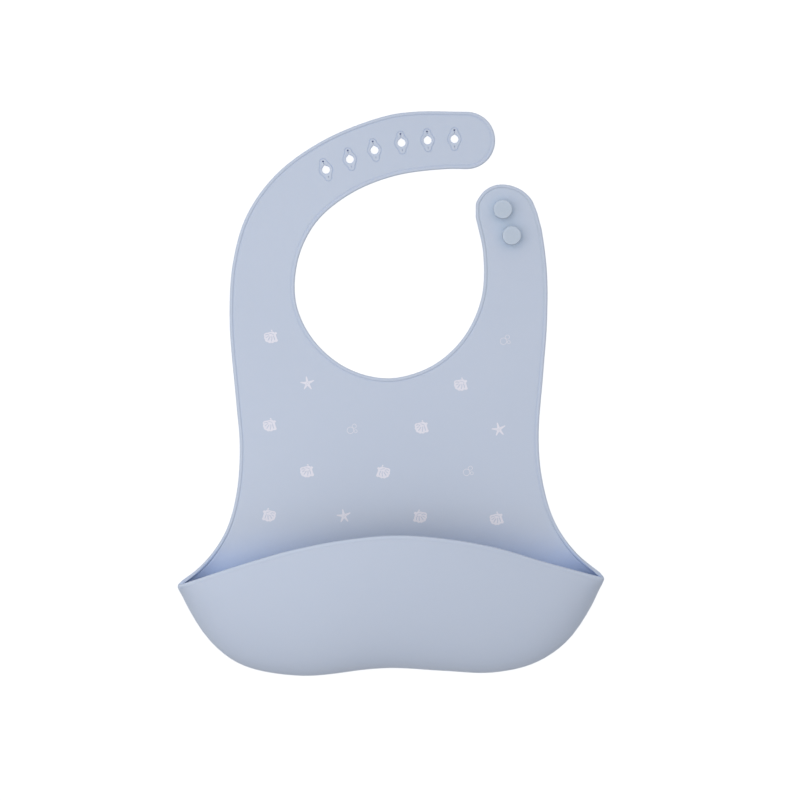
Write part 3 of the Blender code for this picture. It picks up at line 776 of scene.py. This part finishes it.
def stroke(points, width):
    """A closed loop round a smooth line, with narrowed ends."""
    line = resample(smooth_curve(points, 6), 0.28)
    t = np.gradient(line, axis=0)
    t /= np.linalg.norm(t, axis=1)[:, None]
    n = np.stack([-t[:, 1], t[:, 0]], axis=1)
    w = np.full(len(line), width / 2)
    w[0] = w[-1] = width * 0.22
    return [tuple(p) for p in line + n * w[:, None]] + [tuple(p) for p in (line - n * w[:, None])[::-1]]


def motif(node, outers, body):
    """A thin film on the sheet. outers is a list of (outline, [holes]) in the motif's own frame."""
    lo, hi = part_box(node)
    cx, cy = (lo[0] + hi[0]) / 2 / MM, (lo[1] + hi[1]) / 2 / MM - SHIFT_Y
    b = Builder()
    for outline, holes in outers:
        loops = [np.array([(cx + p[0], cy + p[1]) for p in loop]) for loop in [outline] + holes]
        top = [b.ring(l, 2 * MID + 0.075) for l in loops]
        low = [b.ring(l, 2 * MID + 0.02) for l in loops]
        for one, two in zip(top, low):
            b.bridge(one, two)
        b.fill(top, loops)
        b.fill(low, loops)
    obj = finish_mesh(node + "_ink", b.bm, 30)
    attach(obj, body)
    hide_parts(node)
    return obj


def turned_points(points, mirror, lean):
    a = math.radians(lean)
    c, s = math.cos(a), math.sin(a)
    out = []
    for x, y in points:
        if mirror:
            x = -x
        out.append((x * c - y * s, x * s + y * c))
    return out


MIRRORED = {6, 7, 8}
LEAN = {1: 0, 2: -3, 3: -1, 4: 0, 5: 0, 6: -2, 7: 0, 8: 2, 9: 3}
inks = []
for k in range(1, 10):
    outline = turned_points(closed_curve(FAN, 3), k in MIRRORED, LEAN[k])
    holes = [turned_points(stroke(line, w), k in MIRRORED, LEAN[k]) for line, w in FAN_GAPS]
    inks.append(motif(f"shell_print_{k}", [(outline, holes)], "chest" if k <= 6 else "pocket"))
for k, lean in ((1, 0), (2, 5), (3, 2)):
    holes = [turned_points(circle(x, y, 0.16, 8), False, lean) for x, y in SPECKS]
    inks.append(motif(f"starfish_print_{k}", [(turned_points(star_outline(), False, lean), holes)],
                      "chest" if k <= 2 else "pocket"))
for k in range(1, 4):
    rings = [(circle(-1.1, -0.7, 1.9, 36), [circle(-1.1, -0.7, 1.62, 36)]),
             (circle(1.75, -1.2, 0.95, 26), [circle(1.75, -1.2, 0.69, 26)]),
             (circle(1.0, 1.55, 1.25, 30), [circle(1.0, 1.55, 0.98, 30)])]
    inks.append(motif(f"bubble_print_{k}", rings, "chest"))


# ---------------------------------------------------------------- materials
# Painted shade colour for creases and hollows: darker and bluer than the sheet.
PAINTED_CREASE_SHADE = (0.245, 0.338, 0.570)


def nodes_of(name):
    mat = bpy.data.materials.new(name)
    mat.use_nodes = True
    nt = mat.node_tree
    nt.nodes.clear()
    out = nt.nodes.new("ShaderNodeOutputMaterial")
    bsdf = nt.nodes.new("ShaderNodeBsdfPrincipled")
    nt.links.new(bsdf.outputs[0], out.inputs[0])
    return mat, nt, bsdf


def noise(nt, coords, scale, detail=2.0, rough=0.5):
    n = nt.nodes.new("ShaderNodeTexNoise")
    n.inputs["Scale"].default_value = scale
    n.inputs["Detail"].default_value = detail
    n.inputs["Roughness"].default_value = rough
    nt.links.new(coords, n.inputs["Vector"])
    return n.outputs["Fac"]


def ramp(nt, fac, low, high, a=0.0, b=1.0):
    m = nt.nodes.new("ShaderNodeMapRange")
    m.inputs["From Min"].default_value = a
    m.inputs["From Max"].default_value = b
    m.inputs["To Min"].default_value = low
    m.inputs["To Max"].default_value = high
    nt.links.new(fac, m.inputs["Value"])
    return m.outputs["Result"]


def mix_colour(nt, fac, a, b):
    m = nt.nodes.new("ShaderNodeMix")
    m.data_type = "RGBA"
    m.inputs[6].default_value = (*a, 1)
    m.inputs[7].default_value = (*b, 1)
    nt.links.new(fac, m.inputs[0])
    return m.outputs[2]


# Silicone with its own faint tone variation, plus painted shade: a darker, bluer colour in creases and hollows and a
# darker colour in thin grooves.
def silicone(name, light, dark, grain=0.05, stipple=False, rough=0.52, crease_shade_colour=PAINTED_CREASE_SHADE, paint_shade_near_studs=False):
    mat, nt, bsdf = nodes_of(name)
    coords = nt.nodes.new("ShaderNodeTexCoord").outputs["Object"]
    broad = noise(nt, coords, 9.0, 1.0)
    colour = mix_colour(nt, ramp(nt, broad, 0.0, 1.0, 0.3, 0.7), light, dark)
    # Painted shade: where the piece's own ambient occlusion finds a crease or hollow, such as under the pocket wall,
    # the colour is mixed toward a darker, bluer shade colour.
    crease_shade_ao = nt.nodes.new("ShaderNodeAmbientOcclusion")
    crease_shade_ao.samples = 6
    crease_shade_ao.only_local = True
    crease_shade_ao.inputs["Distance"].default_value = 0.030
    crease_shade_mask = crease_shade_ao.outputs["AO"]
    if paint_shade_near_studs:
        # Painted shadow: level ground next to another piece, such as round the studs, is painted with the crease shade
        # too.
        beside = nt.nodes.new("ShaderNodeAmbientOcclusion")
        beside.samples = 6
        beside.inputs["Distance"].default_value = 0.010
        normal = nt.nodes.new("ShaderNodeSeparateXYZ")
        nt.links.new(nt.nodes.new("ShaderNodeNewGeometry").outputs["Normal"], normal.inputs[0])
        level = nt.nodes.new("ShaderNodeMix")
        level.inputs[2].default_value = 1.0
        nt.links.new(ramp(nt, normal.outputs["Z"], 0.0, 1.0, 0.97, 0.99), level.inputs[0])
        nt.links.new(beside.outputs["AO"], level.inputs[3])
        both = nt.nodes.new("ShaderNodeMath")
        both.operation = "MULTIPLY"
        nt.links.new(crease_shade_mask, both.inputs[0])
        nt.links.new(level.outputs[0], both.inputs[1])
        crease_shade_mask = both.outputs[0]
    crease = nt.nodes.new("ShaderNodeMix")
    crease.data_type = "RGBA"
    darkest_crease_shade = (crease_shade_colour[0] * 0.93, crease_shade_colour[1] * 0.86, crease_shade_colour[2] * 0.78)
    nt.links.new(mix_colour(nt, ramp(nt, crease_shade_mask, 0.0, 1.0, 0.38, 0.66), darkest_crease_shade, crease_shade_colour), crease.inputs[6])
    nt.links.new(ramp(nt, crease_shade_mask, 0.0, 1.0, 0.46, 0.92), crease.inputs[0])
    nt.links.new(colour, crease.inputs[7])
    # Painted shade: a narrow groove is only painted darker, where a short-range ambient occlusion finds it hemmed in.
    narrow = nt.nodes.new("ShaderNodeAmbientOcclusion")
    narrow.samples = 6
    narrow.only_local = True
    narrow.inputs["Distance"].default_value = 0.0016
    painted_groove_shade = nt.nodes.new("ShaderNodeMix")
    painted_groove_shade.data_type = "RGBA"
    painted_groove_shade.blend_type = "MULTIPLY"
    painted_groove_shade.inputs[0].default_value = 1.0
    nt.links.new(crease.outputs[2], painted_groove_shade.inputs[6])
    nt.links.new(mix_colour(nt, ramp(nt, narrow.outputs["AO"], 0.0, 1.0, 0.60, 0.95), (0.80, 0.76, 0.68), (1, 1, 1)),
                 painted_groove_shade.inputs[7])
    nt.links.new(painted_groove_shade.outputs[2], bsdf.inputs["Base Color"])
    fine = noise(nt, coords, 3200.0, 3.0, 0.6)
    nt.links.new(ramp(nt, noise(nt, coords, 700.0, 2.0), rough - 0.05, rough + 0.05, 0.3, 0.7),
                 bsdf.inputs["Roughness"])
    bump = nt.nodes.new("ShaderNodeBump")
    bump.inputs["Strength"].default_value = grain
    bump.inputs["Distance"].default_value = 0.0001
    nt.links.new(fine, bump.inputs["Height"])
    last = bump.outputs["Normal"]
    if stipple:
        dots = nt.nodes.new("ShaderNodeTexVoronoi")
        dots.inputs["Scale"].default_value = 1500.0
        nt.links.new(coords, dots.inputs["Vector"])
        second = nt.nodes.new("ShaderNodeBump")
        second.inputs["Strength"].default_value = 0.5
        second.inputs["Distance"].default_value = 0.00012
        nt.links.new(ramp(nt, dots.outputs["Distance"], 1.0, 0.0, 0.1, 0.45), second.inputs["Height"])
        nt.links.new(last, second.inputs["Normal"])
        last = second.outputs["Normal"]
    nt.links.new(last, bsdf.inputs["Normal"])
    bsdf.inputs["Specular IOR Level"].default_value = 0.25
    bsdf.inputs["Subsurface Weight"].default_value = 0.12
    bsdf.inputs["Subsurface Radius"].default_value = (0.7, 0.9, 1.3)
    bsdf.inputs["Subsurface Scale"].default_value = 0.0012
    return mat


BODY_LIGHT = (0.245, 0.273, 0.328)
BODY_DARK = (0.239, 0.267, 0.322)
body_mat = silicone("silicone_body", BODY_LIGHT, BODY_DARK)
# Painted shadow: the tab's material also paints shade round the studs, in its own darker, bluer shade colour.
tab_mat = silicone("silicone_tab", BODY_LIGHT, BODY_DARK, crease_shade_colour=(0.258, 0.335, 0.440), paint_shade_near_studs=True)
# Painted shade: dark blue for the inside of the pinholes and slits, standing in for the shade there.
recess_shade_mat = silicone("silicone_recess_painted_shade", (0.10, 0.15, 0.38), (0.09, 0.14, 0.36), crease_shade_colour=(0.08, 0.13, 0.40))
stud_mat = silicone("silicone_stud", (0.238, 0.272, 0.320), (0.232, 0.266, 0.314))
stipple_mat = silicone("silicone_stud_top", (0.236, 0.268, 0.314), (0.222, 0.256, 0.302), stipple=True)

ink_mat, nt, bsdf = nodes_of("pale_ink")
coords = nt.nodes.new("ShaderNodeTexCoord").outputs["Object"]
nt.links.new(mix_colour(nt, ramp(nt, noise(nt, coords, 1400.0, 3.0), 0, 1, 0.35, 0.7), (0.352, 0.345, 0.385), (0.318, 0.314, 0.354)),
             bsdf.inputs["Base Color"])
nt.links.new(ramp(nt, noise(nt, coords, 900.0, 2.0), 0.42, 0.6, 0.3, 0.7), bsdf.inputs["Roughness"])
ink_bump = nt.nodes.new("ShaderNodeBump")
ink_bump.inputs["Strength"].default_value = 0.08
ink_bump.inputs["Distance"].default_value = 0.0001
nt.links.new(noise(nt, coords, 2600.0, 2.0), ink_bump.inputs["Height"])
nt.links.new(ink_bump.outputs["Normal"], bsdf.inputs["Normal"])

for obj in (chest_skin, strap_a, strap_b, strap_c, tab_a, tab_b, crease_skin, pocket_skin):
    obj.data.materials.append(tab_mat if obj in (tab_a, tab_b) else body_mat)
    # the second slot holds the painted shade of the pinholes and slits
    obj.data.materials.append(recess_shade_mat)
for obj in studs:
    obj.data.materials.append(stud_mat)
    obj.data.materials.append(stipple_mat)
for obj in inks:
    obj.data.materials.append(ink_mat)

# ---------------------------------------------------------------- stage
floor_mesh = bpy.data.meshes.new("floor")
floor_mesh.from_pydata([(-6, -6, 0), (6, -6, 0), (6, 6, 0), (-6, 6, 0)], [], [(0, 1, 2, 3)])
floor = bpy.data.objects.new("floor", floor_mesh)
floor.location.z = -0.0004
scene.collection.objects.link(floor)
floor_mat = bpy.data.materials.new("floor")
floor_mat.use_nodes = True
fnt = floor_mat.node_tree
fnt.nodes.clear()
f_out = fnt.nodes.new("ShaderNodeOutputMaterial")
f_diff = fnt.nodes.new("ShaderNodeBsdfDiffuse")
f_diff.inputs["Color"].default_value = (0.62, 0.64, 0.68, 1)
f_clear = fnt.nodes.new("ShaderNodeBsdfTransparent")
f_mix = fnt.nodes.new("ShaderNodeMixShader")
f_mix.inputs[0].default_value = 0.85
fnt.links.new(f_diff.outputs[0], f_mix.inputs[1])
fnt.links.new(f_clear.outputs[0], f_mix.inputs[2])
fnt.links.new(f_mix.outputs[0], f_out.inputs[0])
floor_mesh.materials.append(floor_mat)

# A studio dome: brightest overhead, cooler and dimmer toward the horizon, and white below it.
world = bpy.data.worlds.new("studio")
scene.world = world
world.use_nodes = True
wnt = world.node_tree
w_back = wnt.nodes["Background"]
w_dir = wnt.nodes.new("ShaderNodeTexCoord").outputs["Generated"]
w_xyz = wnt.nodes.new("ShaderNodeSeparateXYZ")
wnt.links.new(w_dir, w_xyz.inputs[0])
w_dot = wnt.nodes.new("ShaderNodeVectorMath")
w_dot.operation = "DOT_PRODUCT"
w_dot.inputs[1].default_value = Vector((-0.07, 0.10, 0.99)).normalized()
wnt.links.new(w_dir, w_dot.inputs[0])
w_side = mix_colour(wnt, ramp(wnt, w_xyz.outputs["Y"], 0.0, 1.0, -1.0, 1.0), (0.20, 0.235, 0.29), (0.74, 0.83, 0.94))
w_above = wnt.nodes.new("ShaderNodeMix")
w_above.data_type = "RGBA"
w_above.inputs[7].default_value = (2.22, 2.18, 2.16, 1)
wnt.links.new(ramp(wnt, w_dot.outputs["Value"], 0.0, 1.0, 0.0, 1.0), w_above.inputs[0])
wnt.links.new(w_side, w_above.inputs[6])
w_colour = wnt.nodes.new("ShaderNodeMix")
w_colour.data_type = "RGBA"
w_colour.inputs[6].default_value = (1.05, 1.06, 1.08, 1)
wnt.links.new(ramp(wnt, w_xyz.outputs["Z"], 0.0, 1.0, -0.04, 0.04), w_colour.inputs[0])
wnt.links.new(w_above.outputs[2], w_colour.inputs[7])
wnt.links.new(w_colour.outputs[2], w_back.inputs["Color"])


def area(name, where, target, size, power, colour=(1, 1, 1)):
    data = bpy.data.lights.new(name, "AREA")
    data.shape = "DISK"
    data.size = size
    data.energy = power
    data.color = colour
    obj = bpy.data.objects.new(name, data)
    obj.location = where
    obj.rotation_euler = (Vector(target) - Vector(where)).to_track_quat("-Z", "Y").to_euler()
    scene.collection.objects.link(obj)
    return obj


area("left_softbox", (-0.34, 0.05, 0.52), (-0.08, 0, 0), 0.90, 2.7, (0.96, 1.0, 1.04))

# ---------------------------------------------------------------- camera
CAM_H = 1.6
cam_data = bpy.data.cameras.new("camera")
cam_data.sensor_width = 36.0
cam_data.lens = 36.0 * (CAM_H - 0.002) / 0.432
cam = bpy.data.objects.new("camera", cam_data)
cam.location = (0.00459, -0.00384, CAM_H)
cam.rotation_euler = (0, 0, 0)
scene.collection.objects.link(cam)
scene.camera = cam
